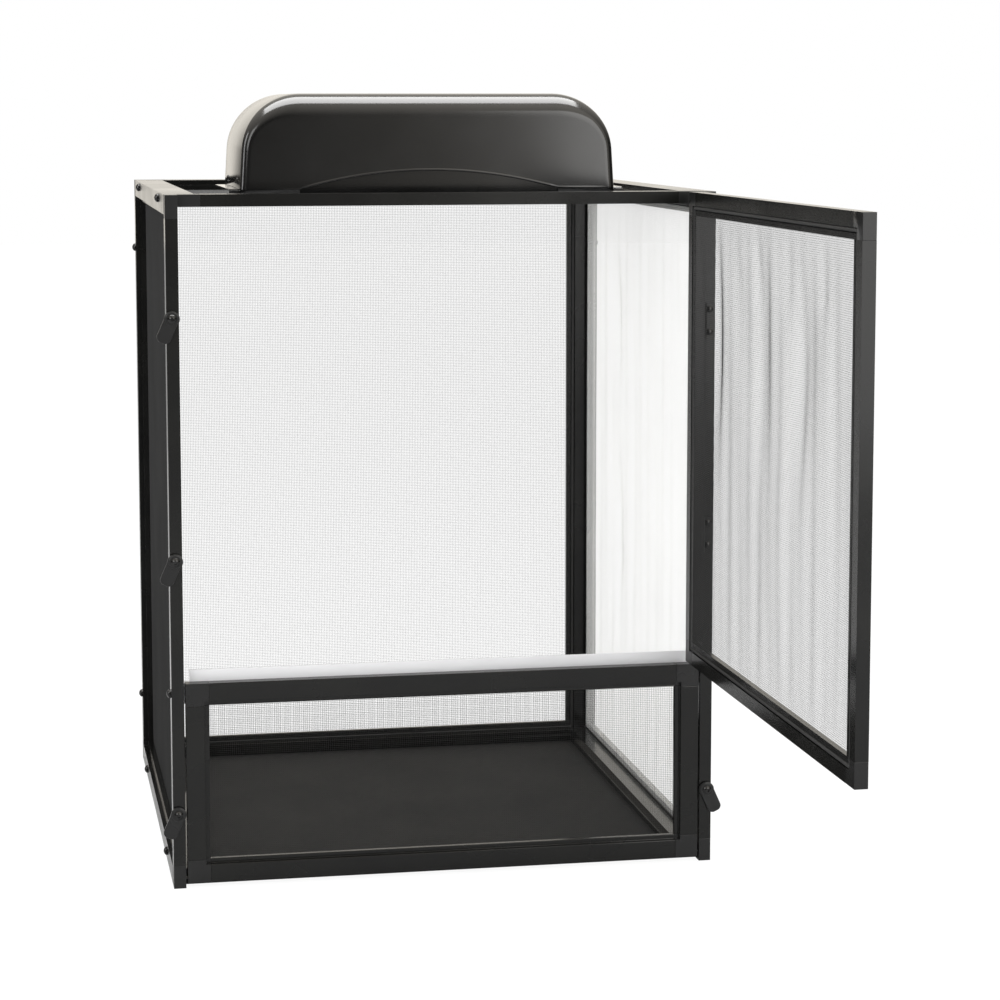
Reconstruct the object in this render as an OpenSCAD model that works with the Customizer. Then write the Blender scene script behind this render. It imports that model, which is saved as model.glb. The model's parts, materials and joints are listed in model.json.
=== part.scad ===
// Screen terrarium with an upper and a lower front door, and a lamp hood on its top.
// +X is to the right seen from the front, +Y to the back and +Z up.
// The origin is on the ground, under the middle of the cage.

/* [Cage] */
// Outside width of the cage
cage_w = 406.4; // [360:0.1:460]
// Outside depth of the cage
cage_d = 406.4; // [360:0.1:460]
// Outside height of the cage
cage_h = 508; // [460:0.5:600]

/* [Doors] */
// Height of the lower door's panel
lower_door_h = 149; // [130:0.5:180]
// Gap between the ground and the lower door
door_under = 3.5; // [3:0.1:5]
// Gap between the lower and the upper door
door_split = 3.5; // [2.5:0.1:6]
// Gap beside a door, to the post
door_gap = 1.3; // [1:0.1:2]
// Gap between a closed door and the rails behind it
seat_gap = 0.4; // [0.3:0.1:1]
// Angle at which the upper door stands open
door_open = 90.6; // [60:0.1:120]

/* [Panel rails] */
// Thickness of a panel
panel_t = 9; // [8.5:0.1:10]
// Width of a rail's flat outer face
flat_w = 13.5; // [13.45:0.05:15]
// Width of the lip inside the flat face
lip_w = 3.5; // [3:0.1:5]
// How far the lip lies behind the flat face
lip_drop = 4.2; // [3.5:0.1:4.4]
// Width of a rail's flat inner face
inner_flat_w = 9.8; // [9.4:0.1:9.8]
// Width of the groove for the screen's cord
groove_w = 3.6; // [3.5:0.05:3.6]
// Depth of that groove
groove_depth = 3.4; // [3.3:0.1:3.6]
// How far the screen's seat lies below the inner face
land_set = 0.6; // [0.5:0.1:1]
// Wall of the hollow rail
rail_wall = 1.2; // [1:0.1:1.6]
// Length of a corner block's leg inside a rail
corner_leg = 20; // [12:0.5:30]
// Gap round that leg
leg_gap = 0.1; // [0.05:0.05:0.3]

/* [Screens] */
// Thickness of the screen
screen_t = 0.35; // [0.25:0.05:0.4]
// Diameter of the cord that holds the screen
cord_d = 3.1; // [2.8:0.05:3.15]
// Spacing of the plain grid of openings that stands for the fine mesh
grid_pitch = 46; // [42:1:80]
// Width of the bars of that grid
grid_bar = 2; // [1:0.1:4]

/* [Floor] */
// Thickness of the floor board
board_t = 3; // [2:0.5:4]

/* [Stop bar] */
// Height of the bar behind the gap between the doors
bar_h = 15; // [12:0.5:20]
// Height of the bright flange on the bar
flange_h = 10; // [8:0.5:14]
// Thickness of that flange
flange_t = 2; // [1.5:0.1:3]
// How far the flange stops short of each post
flange_trim = 5; // [3:0.5:8]
// How far the flange reaches above the upper door's lower edge
flange_rise = 5; // [3:0.5:7]

/* [Lower door pins] */
// Diameter of the lower door's pins
pin_d = 3; // [2.5:0.1:3.4]
// Distance from the pin to the door's front face and lower edge
pin_in = 3.5; // [3:0.1:4.2]
// Depth of the pin's hole in the post
pin_hole = 5.2; // [4.5:0.1:6]
// Length of pin inside the door's corner block
pin_hold = 12; // [8:0.5:14]

/* [Upper door hinges] */
// Height of a hinge
hinge_h = 26; // [24:0.5:36]
// Distance from the door's ends to the middle of a hinge
hinge_end = 95.8; // [60:0.1:110]
// Radius of a hinge's knuckles
knuckle_r = 2.5; // [2.3:0.1:2.6]
// Distance from the hinge's axis to the door's front face
hinge_out = 3; // [2.9:0.1:3.4]
// Thickness of a hinge leaf
leaf_t = 1.2; // [1.1:0.1:1.5]
// Height of the middle knuckle
middle_h = 9.6; // [8:0.1:10]
// Diameter of the hinge pin
hinge_pin_d = 2.4; // [2:0.1:2.8]
// Distance between a leaf's two screws
hinge_screw_gap = 17; // [16:0.1:18]

/* [Latches] */
// Distance from a latch's pivot to the cage's side
latch_in = 3.9; // [3.7:0.1:4.2]
// Distance from the cage's top to the upper latch
latch_drop = 88.6; // [60:0.1:100]
// Height of the middle latch above the upper door's lower edge
latch_rise = 87.2; // [60:0.1:100]
// Height of the lower latches above the ground
latch_low = 55.8; // [50:0.1:80]
// Radius of a latch's pivot end
latch_r = 5.7; // [5:0.1:5.8]
// Width of a latch's paddle
paddle_w = 10.5; // [8:0.1:11]
// Radius of the paddle's tip corners
paddle_r = 4; // [2:0.1:4]
// Distance from the pivot to the paddle's tip
latch_reach = 18.5; // [15:0.1:24]
// Thickness of the paddle
latch_t = 2; // [1.6:0.1:3]
// Extra thickness of the boss round the pivot
boss_t = 0.6; // [0.4:0.1:1]
// Angle of a resting latch from straight down, away from the door
latch_rest = 24; // [0:1:60]

/* [Screws] */
// Head diameter of the screws that hold the panels together
screw_head_d = 6.5; // [5.5:0.1:7]
// Head height of those screws
screw_head_h = 2.8; // [2:0.1:3.2]
// Shank diameter of those screws
screw_d = 3; // [2.6:0.1:3]
// Shank length of those screws
screw_l = 16; // [14:0.5:18]
// Distance from the cage's front and back to its top and bottom side screws
side_screw_in = 76; // [64:1:110]
// Distance from the cage's top and bottom to its rear side screws
screw_end = 58; // [45:1:80]

/* [Hood] */
// Width of the hood at its lower edge
hood_w = 289; // [240:1:300]
// Depth of the hood
hood_d = 141; // [120:1:160]
// Height of the hood
hood_h = 71.7; // [66:0.1:80]
// Distance of the hood from the cage's middle, to the right
hood_x = 4; // [0:0.5:15]
// Distance of the hood from the cage's middle, to the front
hood_fore = 39.5; // [0:0.5:60]
// Lean of the hood's ends
hood_lean = 3.5; // [0:0.1:6]
// Radius of the hood's upper corners, seen from the front
hood_corner_r = 45; // [30:1:50]
// Radius of the hood's upper front and rear edges
hood_edge_r = 14; // [8:0.5:20]
// Radius of the hood's upright edges
hood_end_r = 6; // [4:0.5:10]
// Wall of the hood
hood_wall = 1.8; // [1.5:0.1:2.5]
// Width of the arch in the hood's front
arch_w = 199; // [150:1:210]
// Height of that arch
arch_h = 14; // [10:0.5:18]
// Thickness of the plate behind the arch
plate_t = 1.5; // [1:0.1:2]
// How far the plate reaches below the hood
plate_drop = 5.5; // [2:0.5:7]
// How far the plate reaches past the arch
plate_lap = 8; // [5:0.5:12]

/* [Hood feet] */
// Height of a rubber pad
pad_h = 8; // [7.5:0.5:12]
// Diameter of a rubber pad
pad_d = 10; // [8:0.5:12]
// Thickness of a foot strip
strip_t = 1.2; // [1:0.1:2]
// Length of a foot strip
strip_l = 120; // [90:1:120]
// How far a foot strip shows outside the hood
strip_out = 8; // [5:0.5:12]
// How far a foot strip reaches under the hood
strip_in = 12; // [10:0.5:16]
// Height of a foot strip's upright leg
strip_leg = 11; // [8:0.5:16]

/* [Hood lamps] */
// Diameter of a bulb
bulb_d = 45; // [36:1:46]
// Height of the bulbs' axis above the hood's lower edge
bulb_z = 31; // [28:0.5:33]
// Diameter of a bulb's metal cap
cap_d = 26; // [24:0.5:27]
// Length of a bulb's metal cap
cap_l = 24; // [20:0.5:26]
// Length of a bulb's neck
neck_l = 16; // [10:0.5:20]
// Distance from the hood's end to a lamp bracket
bracket_in = 26.5; // [25.5:0.5:30]
// Thickness of a lamp bracket
bracket_t = 1.5; // [1:0.1:2]
// Thickness of the reflector's sheet
reflector_t = 0.8; // [0.6:0.1:1.2]
// Gap between the reflector and the hood's roof
reflector_gap = 6; // [4:0.5:8]
// Diameter of the bosses in the hood's roof
roof_boss_d = 8; // [7:0.5:10]

/* [Hidden] */
$fn = 48;

// Margin by which a cut passes the face that it opens
cut = 1;
// Radial gap of a running fit, and of a screw in its hole
fit = 0.05;

// Rail section
rail_w = flat_w + lip_w;
groove_end = inner_flat_w + groove_w;
groove_floor = panel_t - groove_depth;
land_z = panel_t - land_set;
groove_wall = 1.4;
hollow_w = inner_flat_w - groove_wall - rail_wall;
hollow_h = panel_t - 2 * rail_wall;

// Screen and its cord
screen_in = groove_end - screen_t;
cord_r = cord_d / 2;
cord_in = inner_flat_w + (groove_w - screen_t) / 2;
cord_z = groove_floor + cord_r + fit;
cord_bend = cord_r + 2 * fit;

// Cage planes
side_x = cage_w / 2;
front_y = -cage_d / 2;
back_y = cage_d / 2;
inside_x = side_x - panel_t;
inside_w = 2 * inside_x;
inside_back = back_y - panel_t;
door_back = front_y + panel_t;
post_mid = side_x - panel_t / 2;

// Doors
door_w = inside_w - 2 * door_gap;
upper_door_z = door_under + lower_door_h + door_split;
upper_door_h = cage_h - upper_door_z;
pin_y = front_y + pin_in;
pin_z = door_under + pin_in;
pin_r = pin_d / 2;
pin_end_gap = 0.25;

// Floor, which leaves room for the lower door's lower edge to swing
swing_gap = 0.6;
swing_r = norm([panel_t - pin_in, pin_in]);
floor_y = pin_y + swing_r + swing_gap;
floor_d = inside_back - floor_y;
floor_mid_z = board_t + panel_t / 2;
floor_screw_d = 3;
floor_screw_l = 8;
floor_head_d = 6;
floor_head_h = 1.5;
floor_screw_in = 60;
screw_y = cage_d / 2 - side_screw_in;

// Top panel
top_y = door_back + seat_gap;
top_d = inside_back - top_y;

// Stop bar, with its screws over the middle of the side panels' grooves
bar_y = top_y;
bar_body_top = upper_door_z + flange_rise - flange_h;
bar_z = bar_body_top - bar_h;
bar_screw_y = front_y + cord_in;
bar_screw_z = bar_z + bar_h / 2;
bar_front_wall = 4.8;

// Hinges
hinge_x = (inside_x + door_w / 2) / 2;
hinge_y = front_y - hinge_out;
hinge_zs = [upper_door_z + hinge_end, cage_h - hinge_end];
hinge_screw_x = post_mid - hinge_x;
leaf_w = side_x - hinge_x - 0.3;
leaf_gap = 0.3;
knuckle_gap = 0.2;
outer_knuckle_h = (hinge_h - middle_h) / 2 - knuckle_gap;
hinge_pin_r = hinge_pin_d / 2;
hinge_pin_head_r = 1.9;
hinge_pin_head_h = 0.6;
hinge_screw_d = 2.8;
hinge_screw_l = 8;
hinge_head_d = 5.2;
hinge_head_h = 1.2;

// Latches
latch_x = side_x - latch_in;
washer_t = 0.6;
washer_r = 3.6;
latch_y = front_y - washer_t - fit;
latch_head_y = latch_y - latch_t - boss_t - fit;
latch_screw_d = 3.3;
latch_screw_l = 12;
latch_head_d = 6.5;
latch_head_h = 2.2;
boss_r = 4.9;
socket_d = 2.9;
socket_depth = 1.3;

// Hood
hood_z = cage_h - land_z + pad_h + strip_t;
corner_z = hood_h - hood_corner_r;
corner_x = hood_w / 2 - hood_corner_r / cos(hood_lean) - corner_z * tan(hood_lean);
arch_r = (pow(arch_w / 2, 2) + pow(arch_h, 2)) / (2 * arch_h);
roof_z = hood_h - hood_wall;
reflector_z = roof_z - reflector_gap;
bracket_x = hood_w / 2 - bracket_in;
reflector_l = 2 * bracket_x - 4;
reflector_top_w = 84;
reflector_foot_w = 124;
reflector_foot_z = 24;
flange_z = reflector_z - reflector_t;
boss_x = bracket_x - 36;
boss_y = 28;
bracket_w = 70;
bracket_flange_l = 46;
bracket_foot_z = 10;
holder_base_d = 40;
holder_base_t = 4;
holder_d = 32;
holder_screw_r = 17.5;
cap_gap = 0.2;
hood_screw_d = 2.8;
hood_screw_head_d = 5.4;
hood_screw_head_h = 1.8;
rivet_d = 3;
rivet_head_d = 5;
rivet_head_h = 1;
rivet_y = 40;
pad_y = strip_l / 2 - pad_d;
pad_x = hood_w / 2 - strip_in + pad_d / 2;
gland_x = hood_w / 2 - 54.5;
gland_z = 40;
gland_hole_r = 5;

// Colours
black = [0.09, 0.09, 0.1];
mesh_grey = [0.35, 0.35, 0.36];
cord_black = [0.05, 0.05, 0.05];
bright = [0.86, 0.86, 0.88];
white = [0.93, 0.93, 0.9];

// ---- Parts of a panel: x and y run along it, z from its outer face inwards ----

// Section of a rail: x runs from the panel's edge inwards, y from its outer face.
module rail_section() {
    difference() {
        polygon([
            [0, 0], [flat_w, 0], [flat_w, lip_drop], [rail_w, lip_drop], [rail_w, land_z],
            [groove_end, land_z], [groove_end, groove_floor], [inner_flat_w, groove_floor],
            [inner_flat_w, panel_t], [0, panel_t]
        ]);
        translate([rail_wall, rail_wall]) square([hollow_w, hollow_h]);
    }
}

module rail(length) {
    translate([rail_w, 0, 0]) rotate([90, 0, 90]) linear_extrude(length - 2 * rail_w) rail_section();
}

module panel_rails(w, h) {
    for (far = [0, 1]) {
        translate([0, far * h, 0]) mirror([0, far, 0]) rail(w);
        translate([far * w, 0, 0]) mirror([far, 0, 0]) mirror([1, -1, 0]) rail(h);
    }
}

// One leg of a corner block, which the rail slides over.
module block_leg() {
    edge = rail_wall + leg_gap;
    translate([rail_w - cut, edge, edge])
        cube([corner_leg + cut, hollow_w - 2 * leg_gap, hollow_h - 2 * leg_gap]);
}

module corner_block() {
    difference() {
        cube([rail_w, rail_w, panel_t]);
        // The groove turns the corner round the screen's seat.
        translate([inner_flat_w, inner_flat_w, groove_floor]) difference() {
            cube([rail_w, rail_w, panel_t]);
            translate([groove_w, groove_w, -cut]) cube([rail_w, rail_w, land_z - groove_floor + cut]);
        }
        translate([flat_w, flat_w, -cut]) cube([rail_w, rail_w, lip_drop + cut]);
    }
    block_leg();
    mirror([1, -1, 0]) block_leg();
}

// Puts its children, which lie at the lower left corner, at all four corners.
module at_corners(w, h) {
    for (right = [0, 1], up = [0, 1])
        translate([right * w, up * h, 0]) mirror([right, 0, 0]) mirror([0, up, 0]) children();
}

module panel_corners(w, h) {
    at_corners(w, h) corner_block();
}

// The round cord that presses the screen into the groove, with a tight bend at each corner.
module panel_cord(w, h) {
    bend_in = cord_in + cord_bend;
    translate([0, 0, cord_z]) {
        for (y = [cord_in, h - cord_in])
            translate([bend_in, y, 0]) rotate([0, 90, 0]) cylinder(r = cord_r, h = w - 2 * bend_in);
        for (x = [cord_in, w - cord_in])
            translate([x, bend_in, 0]) rotate([-90, 0, 0]) cylinder(r = cord_r, h = h - 2 * bend_in);
        at_corners(w, h) translate([bend_in, bend_in, 0]) rotate(180)
            rotate_extrude(angle = 90) translate([cord_bend, 0]) circle(r = cord_r);
    }
}

// Even openings over a window, with half a bar round the outside.
module grid_openings(w, h) {
    across = round(w / grid_pitch);
    up = round(h / grid_pitch);
    cell = [w / across, h / up];
    for (i = [0 : across - 1], j = [0 : up - 1])
        translate([i * cell[0] + grid_bar / 2, j * cell[1] + grid_bar / 2])
            square([cell[0] - grid_bar, cell[1] - grid_bar]);
}

// The screen lies on its seat, and its edge turns down into the groove.
module panel_screen(w, h, open = true) {
    edge_h = land_z - groove_floor - fit;
    translate([screen_in, screen_in, groove_floor + fit]) difference() {
        cube([w - 2 * screen_in, h - 2 * screen_in, edge_h]);
        translate([screen_t, screen_t, -cut])
            cube([w - 2 * groove_end, h - 2 * groove_end, edge_h + 2 * cut]);
    }
    translate([0, 0, land_z]) linear_extrude(screen_t) difference() {
        translate([screen_in, screen_in]) square([w - 2 * screen_in, h - 2 * screen_in]);
        if (open) translate([rail_w, rail_w]) grid_openings(w - 2 * rail_w, h - 2 * rail_w);
    }
}

// ---- Where the panels stand ----

module at_left() {
    translate([-side_x, front_y, 0]) rotate([90, 0, 90]) children();
}

module at_right() {
    mirror([1, 0, 0]) at_left() children();
}

module at_back() {
    translate([-inside_x, back_y, 0]) rotate([90, 0, 0]) children();
}

module at_top() {
    translate([-inside_x, inside_back, cage_h]) rotate([180, 0, 0]) children();
}

module at_floor() {
    translate([-inside_x, inside_back, board_t + panel_t]) rotate([180, 0, 0]) children();
}

module at_door(z) {
    translate([door_w / 2, front_y, z]) rotate([90, 0, 180]) children();
}

// Turns the closed upper door and what is on it to where it stands open.
module door_opened() {
    translate([hinge_x, hinge_y, 0]) rotate(door_open) translate([-hinge_x, -hinge_y, 0]) children();
}

// ---- Screws: the face under the head is at z = 0 and the head on the +z side ----

module round_head(d, h) {
    edge = h * 0.35;
    dome = h - edge;
    dome_r = (pow(d / 2, 2) + pow(dome, 2)) / (2 * dome);
    intersection() {
        cylinder(d = d, h = h);
        translate([0, 0, h - dome_r]) sphere(r = dome_r);
    }
}

module screw(d, l, head_d, head_h) {
    translate([0, 0, -l]) cylinder(d = d, h = l + cut / 2);
    round_head(head_d, head_h);
}

module screw_hole(d, l) {
    translate([0, 0, -l - fit]) cylinder(r = d / 2 + fit, h = l + fit + cut);
}

// The screws through the side panels into the top, the floor, the back and the stop bar.
module at_assembly_screws() {
    spots = [
        for (y = [-screw_y, screw_y], z = [floor_mid_z, cage_h - panel_t / 2]) [y, z],
        for (z = [screw_end, cage_h - screw_end]) [back_y - panel_t / 2, z],
        [bar_screw_y, bar_screw_z]
    ];
    for (right = [0, 1], spot = spots)
        mirror([right, 0, 0]) translate([-side_x, spot[0], spot[1]]) rotate([0, -90, 0]) children();
}

module assembly_holes() {
    at_assembly_screws() screw_hole(screw_d, screw_l);
}

module at_hinge_screws() {
    for (z = hinge_zs, end = [-1, 1])
        translate([hinge_x, hinge_y + hinge_out - leaf_t, z + end * hinge_screw_gap / 2])
            rotate([90, 0, 0]) translate([hinge_screw_x, 0, 0]) children();
}

// The same on the closed door's side of the hinge.
module at_door_screws() {
    translate([hinge_x, 0, 0]) mirror([1, 0, 0]) translate([-hinge_x, 0, 0]) at_hinge_screws() children();
}

module at_floor_screws() {
    mid_y = floor_y + floor_d / 2;
    edge = rail_wall + hollow_w / 2;
    for (x = [-1, 1], y = [-1, 1]) {
        translate([x * (inside_x - floor_screw_in), mid_y + y * (floor_d / 2 - edge), 0]) children();
        translate([x * (inside_x - edge), mid_y + y * (floor_d / 2 - floor_screw_in), 0]) children();
    }
}

// ---- Side, back and top panels ----

// A side panel's rails, with a latch screw's hole in the front post at each height in zs.
module side_rails(zs) {
    difference() {
        at_left() panel_rails(cage_d, cage_h);
        assembly_holes();
        at_latch_pivots(zs) screw_hole(latch_screw_d, latch_screw_l);
    }
}

module post_pin_hole() {
    translate([-inside_x - pin_hole, pin_y, pin_z]) rotate([0, 90, 0])
        cylinder(r = pin_r + fit, h = pin_hole + cut);
}

module side_corners() {
    difference() {
        at_left() panel_corners(cage_d, cage_h);
        post_pin_hole();
    }
}

module side_cord() {
    difference() {
        at_left() panel_cord(cage_d, cage_h);
        assembly_holes();
    }
}

module side_screen() {
    difference() {
        at_left() panel_screen(cage_d, cage_h);
        assembly_holes();
    }
}

module left_panel_rails() {
    color(black) side_rails(latch_zs);
}

module left_panel_corners() {
    color(black) side_corners();
}

module left_panel_cord() {
    color(cord_black) side_cord();
}

module left_panel_screen() {
    color(mesh_grey) side_screen();
}

module right_panel_rails() {
    color(black) difference() {
        mirror([1, 0, 0]) side_rails([latch_low]);
        at_hinge_screws() screw_hole(hinge_screw_d, hinge_screw_l);
    }
}

module right_panel_corners() {
    color(black) mirror([1, 0, 0]) side_corners();
}

module right_panel_cord() {
    color(cord_black) mirror([1, 0, 0]) side_cord();
}

module right_panel_screen() {
    color(mesh_grey) mirror([1, 0, 0]) side_screen();
}

module back_panel_rails() {
    color(black) difference() {
        at_back() panel_rails(inside_w, cage_h);
        assembly_holes();
    }
}

module back_panel_corners() {
    color(black) at_back() panel_corners(inside_w, cage_h);
}

module back_panel_cord() {
    color(cord_black) at_back() panel_cord(inside_w, cage_h);
}

module back_panel_screen() {
    color(mesh_grey) at_back() panel_screen(inside_w, cage_h);
}

module top_panel_rails() {
    color(black) difference() {
        at_top() panel_rails(inside_w, top_d);
        assembly_holes();
    }
}

module top_panel_corners() {
    color(black) at_top() panel_corners(inside_w, top_d);
}

module top_panel_cord() {
    color(cord_black) at_top() panel_cord(inside_w, top_d);
}

// The top screen carries the hood, and its plate is kept closed.
module top_panel_screen() {
    color(mesh_grey) at_top() panel_screen(inside_w, top_d, open = false);
}

// ---- Floor ----

module floor_rails() {
    color(black) difference() {
        at_floor() panel_rails(inside_w, floor_d);
        assembly_holes();
        at_floor_screws() mirror([0, 0, 1]) screw_hole(floor_screw_d, floor_screw_l);
    }
}

module floor_corners() {
    color(black) at_floor() panel_corners(inside_w, floor_d);
}

module floor_head(gap) {
    cylinder(d1 = floor_head_d + 2 * gap, d2 = floor_screw_d + 2 * gap, h = floor_head_h);
}

module floor_board() {
    color(black) difference() {
        translate([-inside_x, floor_y, 0]) cube([inside_w, floor_d, board_t]);
        at_floor_screws() {
            floor_head(fit);
            translate([0, 0, -cut]) cylinder(r = floor_screw_d / 2 + fit, h = board_t + 2 * cut);
        }
    }
}

// Countersunk screws, flush with the board's underside.
module floor_screws() {
    color(bright) at_floor_screws() {
        floor_head(0);
        cylinder(d = floor_screw_d, h = floor_screw_l);
    }
}

// ---- Stop bar and the screws of the frame ----

// A hollow bar across the front, with a flange that closes the gap between the doors.
module stop_bar() {
    color(bright) difference() {
        translate([-inside_x, bar_y, bar_z]) difference() {
            union() {
                cube([inside_w, panel_t, bar_h]);
                translate([flange_trim, 0, 0]) cube([inside_w - 2 * flange_trim, flange_t, bar_h + flange_h]);
            }
            translate([-cut, bar_front_wall, rail_wall])
                cube([inside_w + 2 * cut, panel_t - bar_front_wall - rail_wall, bar_h - 2 * rail_wall]);
        }
        assembly_holes();
    }
}

module assembly_screws() {
    color(black) at_assembly_screws() screw(screw_d, screw_l, screw_head_d, screw_head_h);
}

// ---- Doors ----

module upper_door_rails() {
    color(black) door_opened() difference() {
        at_door(upper_door_z) panel_rails(door_w, upper_door_h);
        at_door_screws() screw_hole(hinge_screw_d, hinge_screw_l);
    }
}

module upper_door_corners() {
    color(black) door_opened() at_door(upper_door_z) panel_corners(door_w, upper_door_h);
}

module upper_door_cord() {
    color(cord_black) door_opened() at_door(upper_door_z) panel_cord(door_w, upper_door_h);
}

module upper_door_screen() {
    color(mesh_grey) door_opened() at_door(upper_door_z) panel_screen(door_w, upper_door_h);
}

module lower_door_rails() {
    color(black) at_door(door_under) panel_rails(door_w, lower_door_h);
}

module lower_door_corners() {
    color(black) difference() {
        at_door(door_under) panel_corners(door_w, lower_door_h);
        for (side = [0, 1]) mirror([side, 0, 0])
            translate([-door_w / 2 - cut, pin_y, pin_z]) rotate([0, 90, 0])
                cylinder(r = pin_r + fit, h = pin_hold + fit + cut);
    }
}

module lower_door_cord() {
    color(cord_black) at_door(door_under) panel_cord(door_w, lower_door_h);
}

module lower_door_screen() {
    color(mesh_grey) at_door(door_under) panel_screen(door_w, lower_door_h);
}

// The lower door turns on these, in blind holes in the posts.
module lower_door_pins() {
    color(bright) for (side = [0, 1]) mirror([side, 0, 0])
        translate([pin_end_gap - inside_x - pin_hole, pin_y, pin_z]) rotate([0, 90, 0])
            cylinder(r = pin_r, h = pin_hole - pin_end_gap + door_gap + pin_hold);
}

// ---- Upper door hinges: the axis is the z axis, and the leaf lies to +x ----

module leaf_plate() {
    translate([0, hinge_out - leaf_t, -hinge_h / 2]) cube([leaf_w, leaf_t, hinge_h]);
}

// Room for the other leaf's knuckle, over a height h.
module knuckle_room(h) {
    r = knuckle_r + leaf_gap;
    translate([-r, -r, -h / 2]) cube([2 * r, 2 * r + leaf_t, h]);
}

module leaf_holes() {
    cylinder(r = hinge_pin_r + fit, h = hinge_h + 2 * cut, center = true);
    for (end = [-1, 1])
        translate([hinge_screw_x, 0, end * hinge_screw_gap / 2]) rotate([-90, 0, 0])
            cylinder(r = hinge_screw_d / 2 + fit, h = hinge_out + cut);
}

module post_leaf() {
    difference() {
        union() {
            difference() {
                leaf_plate();
                knuckle_room(middle_h + 2 * knuckle_gap);
            }
            for (end = [0, 1]) mirror([0, 0, end])
                translate([0, 0, hinge_h / 2 - outer_knuckle_h]) cylinder(r = knuckle_r, h = outer_knuckle_h);
        }
        leaf_holes();
    }
}

module door_leaf() {
    difference() {
        union() {
            difference() {
                leaf_plate();
                for (end = [0, 1]) mirror([0, 0, end])
                    translate([0, 0, middle_h / 2 + hinge_h / 2]) knuckle_room(hinge_h);
            }
            cylinder(r = knuckle_r, h = middle_h, center = true);
        }
        leaf_holes();
    }
}

module at_hinges() {
    for (z = hinge_zs) translate([hinge_x, hinge_y, z]) children();
}

module hinge_post_leaves() {
    color(black) at_hinges() post_leaf();
}

module hinge_door_leaves() {
    color(black) door_opened() at_hinges() mirror([1, 0, 0]) door_leaf();
}

module hinge_pins() {
    color(bright) at_hinges() {
        cylinder(r = hinge_pin_r, h = hinge_h, center = true);
        for (end = [0, 1]) mirror([0, 0, end])
            translate([0, 0, hinge_h / 2]) cylinder(r = hinge_pin_head_r, h = hinge_pin_head_h);
    }
}

module hinge_screw() {
    screw(hinge_screw_d, hinge_screw_l, hinge_head_d, hinge_head_h);
}

module hinge_post_screws() {
    color(black) at_hinge_screws() hinge_screw();
}

module hinge_door_screws() {
    color(black) door_opened() at_door_screws() hinge_screw();
}

// ---- Turn latches ----

latch_zs = [cage_h - latch_drop, upper_door_z + latch_rise, latch_low];

// One latch, pivot at the origin, hanging straight down, its back on the plane y = 0.
module latch_tab() {
    tip = latch_reach - paddle_r;
    side = paddle_w / 2 - paddle_r;
    rotate([90, 0, 0]) difference() {
        union() {
            linear_extrude(latch_t) {
                circle(r = latch_r);
                translate([-paddle_w / 2, -tip]) square([paddle_w, tip]);
                translate([-side, -latch_reach]) square([2 * side, latch_reach]);
                for (x = [-side, side]) translate([x, -tip]) circle(r = paddle_r);
            }
            cylinder(r = boss_r, h = latch_t + boss_t);
        }
        translate([0, 0, -cut]) cylinder(r = latch_screw_d / 2 + fit, h = latch_t + boss_t + 2 * cut);
    }
}

// A latch on the left post (side -1) or the right one (side 1), turned away from the door.
module latch(side, z) {
    color(black) translate([side * latch_x, latch_y, z]) rotate([0, -side * latch_rest, 0]) latch_tab();
}

module latch_upper_left() {
    latch(-1, latch_zs[0]);
}

module latch_middle_left() {
    latch(-1, latch_zs[1]);
}

module latch_lower_left() {
    latch(-1, latch_zs[2]);
}

module latch_lower_right() {
    latch(1, latch_zs[2]);
}

// Latch pivots on the left post, at each height in zs.
module at_latch_pivots(zs) {
    for (z = zs) translate([-latch_x, front_y, z]) rotate([90, 0, 0]) children();
}

// All the latch pivots: the left post has three and the right post only the lowest.
module at_all_latches() {
    at_latch_pivots(latch_zs) children();
    mirror([1, 0, 0]) at_latch_pivots([latch_low]) children();
}

module latch_screws() {
    head_z = front_y - latch_head_y;
    color(black) at_all_latches() difference() {
        union() {
            translate([0, 0, -latch_screw_l]) cylinder(d = latch_screw_d, h = latch_screw_l + head_z + cut / 2);
            translate([0, 0, head_z]) round_head(latch_head_d, latch_head_h);
        }
        translate([0, 0, head_z + latch_head_h - socket_depth]) cylinder(d = socket_d, h = socket_depth + cut, $fn = 6);
    }
}

module latch_washers() {
    color(bright) at_all_latches() difference() {
        cylinder(r = washer_r, h = washer_t);
        translate([0, 0, -cut]) cylinder(r = latch_screw_d / 2 + fit, h = washer_t + 2 * cut);
    }
}

// ---- Hood: x = 0 and y = 0 are its middle, z = 0 its lower edge ----

module at_hood() {
    translate([hood_x, -hood_fore, hood_z]) children();
}

// Half the width of the hood's end wall at height z, inset from its outer face.
function hood_side(inset, z) = hood_w / 2 - inset / cos(hood_lean) - z * tan(hood_lean);

// Seen from the front: leaning ends and large round upper corners.
module hood_outline(inset, z0) {
    r = hood_corner_r - inset;
    tangent = [corner_x + r * cos(hood_lean), corner_z + r * sin(hood_lean)];
    for (x = [-corner_x, corner_x]) translate([x, corner_z]) circle(r = r);
    polygon([
        [-hood_side(inset, z0), z0], [hood_side(inset, z0), z0], tangent,
        [corner_x, corner_z + r], [-corner_x, corner_z + r], [-tangent[0], tangent[1]]
    ]);
}

// Seen from the side: upright walls and round upper edges.
module hood_profile(inset, z0) {
    r = hood_edge_r - inset;
    half = hood_d / 2 - inset;
    top = hood_h - inset;
    translate([-half, z0]) square([2 * half, top - r - z0]);
    translate([r - half, z0]) square([2 * (half - r), top - z0]);
    for (y = [r - half, half - r]) translate([y, top - r]) circle(r = r);
}

// Seen from above: rounded upright edges.
module hood_plan(inset) {
    r = hood_end_r - inset;
    half_x = hood_side(inset, 0);
    half_y = hood_d / 2 - inset;
    square([2 * (half_x - r), 2 * half_y], center = true);
    square([2 * half_x, 2 * (half_y - r)], center = true);
    for (x = [r - half_x, half_x - r], y = [r - half_y, half_y - r]) translate([x, y]) circle(r = r);
}

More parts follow.
